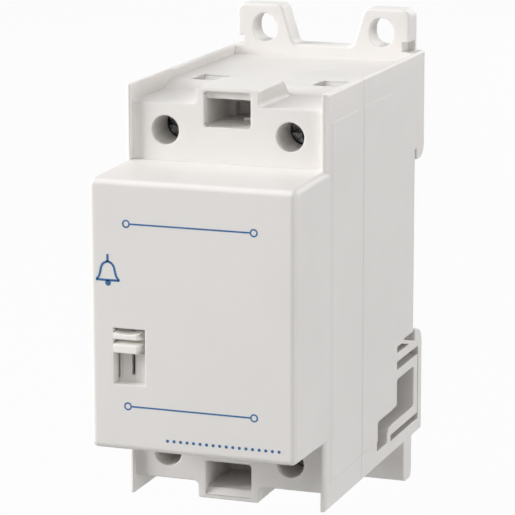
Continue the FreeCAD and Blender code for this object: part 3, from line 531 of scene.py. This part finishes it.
def knob_front():
    """Front of the knob: two finger ribs on a base plate, a scooped top and a sloping right flank."""
    left, rib_right, plate_right = -13.52, -9.47, -8.5
    front, flank, plate = -0.35, 0.6, 1.6
    crest = -2.3
    scoop_low, scoop_back, scoop_front = -3.2, 0.4, 0.16
    slices, sharp_angle, edge_round = 12, 0.5, 0.09
    upper_rib = [(knob_back, crest), (plate, -2.36), (flank, -2.54), (front, -2.84), (front, -3.78),
                 (flank, -3.82), (plate, -3.86)]
    lower_rib = [(plate, -4.24), (flank, -4.46), (front, -4.76), (front, -6.06), (flank, -6.12),
                 (plate, -6.18)]
    foot = [(plate, -6.34), (knob_back, -6.34)]
    knob = bmesh.new()
    prism_x(knob, upper_rib + lower_rib + foot, left, rib_right)
    for i in range(1, slices):
        spot = mm(left + (rib_right - left) * i / slices, 0, 0)
        bmesh.ops.bisect_plane(knob, geom=all_of(knob), plane_co=spot, plane_no=(1, 0, 0))
    start, end = mm(left, front, scoop_low), mm(rib_right, flank, crest)
    for vert in knob.verts:
        across = (vert.co.x - start.x) / (end.x - start.x)
        deep = min(max((vert.co.y - start.y) / (end.y - start.y), 0.0), 1.0)
        if vert.co.z > start.z:
            dip = (scoop_front + (scoop_back - scoop_front) * deep) * MM
            vert.co.z -= dip * (1 - (2 * across - 1) ** 2)
        vert.co.x += across * deep * (plate_right - rib_right) * MM
    bmesh.ops.recalc_face_normals(knob, faces=knob.faces)
    sharp = [e for e in knob.edges if len(e.link_faces) == 2 and e.calc_face_angle() > sharp_angle]
    bmesh.ops.bevel(knob, geom=sharp, offset=edge_round * MM, affect="EDGES", segments=2, profile=0.5,
                    material=-1)
    front_mesh = bpy.data.meshes.new("knob_front")
    knob.to_mesh(front_mesh)
    knob.free()
    return front_mesh


def switch_knob():
    """The whole knob. Its leg and shoe behind the pocket's floor keep the form of the node that it
    replaces."""
    leg_start = knob_back + 0.03
    shape = bmesh.new()
    shape.from_mesh(frame["nodes"]["switch_slider"].data)
    bmesh.ops.remove_doubles(shape, verts=shape.verts, dist=1e-6)
    keep_side(shape, mm(0, leg_start, 0), (0, 1, 0))
    front_mesh = knob_front()
    shape.from_mesh(front_mesh)
    bpy.data.meshes.remove(front_mesh)
    piece = finish_piece(shape, "switch_knob", "switch", knob_plastic)
    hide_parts("switch_slider")


for side_x, x_name in ((-1, "left"), (1, "right")):
    for side, z_name in ((-1, "lower"), (1, "upper")):
        dish_lining("dish_lining_%s_%s" % (z_name, x_name), side_x, side)
entry_funnels()
window_corners()
window_sill()
window_ledges()
field_ramps()
parting_beads()
slot_filler()
switch_knob()


# Print on the front face

ink_film = 0.02 * MM
line_left, line_right, line_thick = -11.2, 10.7, 0.27
upper_line, lower_line = 15.4, -15.0
ring_radius, ring_thick = 0.68, 0.25


def printed(name, draw):
    """Thin film of ink on the front face, drawn as flat faces and then given its thickness."""
    film = bmesh.new()
    draw(film)
    bmesh.ops.remove_doubles(film, verts=film.verts, dist=1e-7)
    bmesh.ops.recalc_face_normals(film, faces=film.faces)
    raised = bmesh.ops.extrude_face_region(film, geom=film.faces[:])
    lifted = [v for v in raised["geom"] if isinstance(v, bmesh.types.BMVert)]
    bmesh.ops.translate(film, verts=lifted, vec=(0, -ink_film, 0))
    finish_piece(film, name, "housing", ink)


def on_front(x, z):
    return Vector((x * MM, front_face, z * MM + nose_middle))


def flat_ring(film, x, z, outer, width):
    """Ring of ink round a point of the front face."""
    steps = 40
    start = [film.verts.new(on_front(x + radius, z)) for radius in (outer - width, outer)]
    edge = film.edges.new(start)
    bmesh.ops.spin(film, geom=start + [edge], cent=on_front(x, z), axis=(0, 1, 0), angle=2 * math.pi,
                   steps=steps, use_merge=True)


def flat_disc(film, x, z, radius):
    steps = 24
    place = Matrix.Translation(on_front(x, z)) @ Matrix.Rotation(math.pi / 2, 4, "X")
    bmesh.ops.create_circle(film, cap_ends=True, segments=steps, radius=radius * MM, matrix=place)


def flat_bar(film, x0, z0, x1, z1, width):
    """Straight stroke between two points of the front face."""
    along = Vector((x1 - x0, 0, z1 - z0)).normalized()
    off = Vector((-along.z, 0, along.x)) * width / 2
    corners = [on_front(x0, z0) + off * MM, on_front(x1, z1) + off * MM,
               on_front(x1, z1) - off * MM, on_front(x0, z0) - off * MM]
    film.faces.new([film.verts.new(corner) for corner in corners])


def terminal_line(z):
    """Line between two rings, at the height z of the front face."""
    def draw(film):
        flat_ring(film, line_left, z, ring_radius, ring_thick)
        flat_ring(film, line_right, z, ring_radius, ring_thick)
        flat_bar(film, line_left + ring_radius, z, line_right - ring_radius, z, line_thick)
    return draw


def bell(film):
    """Bell outline with its stem and clapper."""
    x, rim, crown, stem_top = -14.5, 5.9, 8.9, 10.2
    stroke, rim_reach = 0.38, 2.05
    clapper_aside, clapper_drop, clapper_radius = 0.05, 0.45, 0.5
    flat_bar(film, x, crown, x, stem_top, stroke)
    flat_bar(film, x - rim_reach, rim, x + rim_reach, rim, stroke)
    waist = [(2.0, rim), (1.55, rim + 0.55), (1.3, rim + 1.3), (1.15, rim + 2.1), (0.8, rim + 2.75),
             (0.0, crown + 0.15)]
    for side in (-1, 1):
        for (x0, z0), (x1, z1) in zip(waist, waist[1:]):
            flat_bar(film, x + side * x0, z0, x + side * x1, z1, stroke)
    flat_disc(film, x + clapper_aside, rim - clapper_drop, clapper_radius)


def dots(film):
    count, left, right, z, radius = 18, -4.3, 14.95, -20.25, 0.27
    for i in range(count):
        flat_disc(film, left + (right - left) * i / (count - 1), z, radius)


printed("print_upper_line", terminal_line(upper_line))
printed("print_lower_line", terminal_line(lower_line))
printed("print_bell", bell)
printed("print_dots", dots)


# Camera, light and surroundings

def add_camera():
    """Camera with a long lens, at the photograph's viewing angle."""
    azimuth, elevation, roll = math.radians(19.905), math.radians(12.272), math.radians(-0.094)
    distance = 0.4824
    target = Vector((1.19, -37.0, 4.37)) * MM
    sensor_mm, focal_pixels, frame_pixels = 36.0, 2848.0, 515
    back = Vector((math.sin(azimuth) * math.cos(elevation), -math.cos(azimuth) * math.cos(elevation),
                   math.sin(elevation)))
    camera = bpy.data.cameras.new("camera")
    camera.sensor_width = sensor_mm
    camera.lens = sensor_mm * focal_pixels / frame_pixels
    camera.clip_start = 0.01
    holder = bpy.data.objects.new("camera", camera)
    turn = back.to_track_quat("Z", "Y").to_matrix().to_4x4() @ Matrix.Rotation(roll, 4, "Z")
    holder.matrix_world = Matrix.Translation(target + back * distance) @ turn
    bpy.context.scene.collection.objects.link(holder)
    bpy.context.scene.camera = holder


def add_softbox(name, place, size, power):
    """Square lamp in metres and watts, turned towards the part's middle."""
    light = bpy.data.lights.new(name, "AREA")
    light.shape = "SQUARE"
    light.size = size
    light.energy = power
    lamp = bpy.data.objects.new(name, light)
    direction = Vector(part_middle) - Vector(place)
    turn = direction.to_track_quat("-Z", "Y").to_matrix().to_4x4()
    lamp.matrix_world = Matrix.Translation(Vector(place)) @ turn
    bpy.context.scene.collection.objects.link(lamp)


def seen_rays(tree):
    """1 for rays that show the surroundings themselves: to the camera, in gloss and through glass."""
    path = add_node(tree, "ShaderNodeLightPath")
    mirrored = add_node(tree, "ShaderNodeMath", {"operation": "MAXIMUM"},
                        {0: path.outputs["Is Camera Ray"], 1: path.outputs["Is Glossy Ray"]})
    return add_node(tree, "ShaderNodeMath", {"operation": "MAXIMUM"},
                    {0: mirrored, 1: path.outputs["Is Transmission Ray"]})


def add_world():
    """Dim even light on the part, and plain white where the surroundings themselves are seen."""
    world = bpy.data.worlds.new("studio")
    world.use_nodes = True
    tree = world.node_tree
    tree.nodes.clear()
    fill = add_node(tree, "ShaderNodeBackground", {"Color": linear("#fbfafa"), "Strength": 0.155})
    white = add_node(tree, "ShaderNodeBackground", {"Color": (1, 1, 1, 1), "Strength": 1.0})
    mixed = add_node(tree, "ShaderNodeMixShader", links={0: seen_rays(tree), 1: fill, 2: white})
    add_node(tree, "ShaderNodeOutputWorld", links={"Surface": mixed})
    bpy.context.scene.world = world


def add_floor():
    """Pale floor well below the part, which hangs free as it would from its rail."""
    drop, half_size, glow_share = 30.0 * MM, 1.5, 0.96
    ground = bmesh.new()
    bmesh.ops.create_grid(ground, x_segments=8, y_segments=8, size=half_size,
                          matrix=Matrix.Translation((0, 0, housing_foot - drop)))
    mesh = bpy.data.meshes.new("floor")
    ground.to_mesh(mesh)
    ground.free()
    floor = bpy.data.objects.new("floor", mesh)
    bpy.context.scene.collection.objects.link(floor)
    material, tree = new_material("white_sweep")
    paint = add_node(tree, "ShaderNodeBsdfDiffuse", {"Color": linear("#b4b4b4")})
    glow = add_node(tree, "ShaderNodeEmission", {"Color": (1, 1, 1, 1), "Strength": 1.0})
    share = add_node(tree, "ShaderNodeMath", {"operation": "MULTIPLY", 1: glow_share}, {0: seen_rays(tree)})
    mixed = add_node(tree, "ShaderNodeMixShader", links={0: share, 1: paint, 2: glow})
    add_node(tree, "ShaderNodeOutputMaterial", links={"Surface": mixed})
    floor.data.materials.append(material)


part_middle = (0.0, -0.03, 0.0)
softboxes = (("key_left", (-0.85, -0.4, 0.3), 0.4, 8.0),
             ("front_high", (0.05, -0.7, 0.6), 0.5, 1.7),
             ("top", (-0.05, 0.0, 0.85), 0.5, 1.0),
             ("left_high", (-0.6, -0.2, 0.65), 0.5, 2.4),
             ("right_fill", (0.8, -0.15, 0.1), 0.5, 3.3),
             ("back_fill", (0.1, 0.8, 0.2), 0.5, 2.0))
add_camera()
add_world()
add_floor()
for name, place, size, power in softboxes:
    add_softbox(name, place, size, power)
bpy.context.scene.view_settings.view_transform = "Standard"
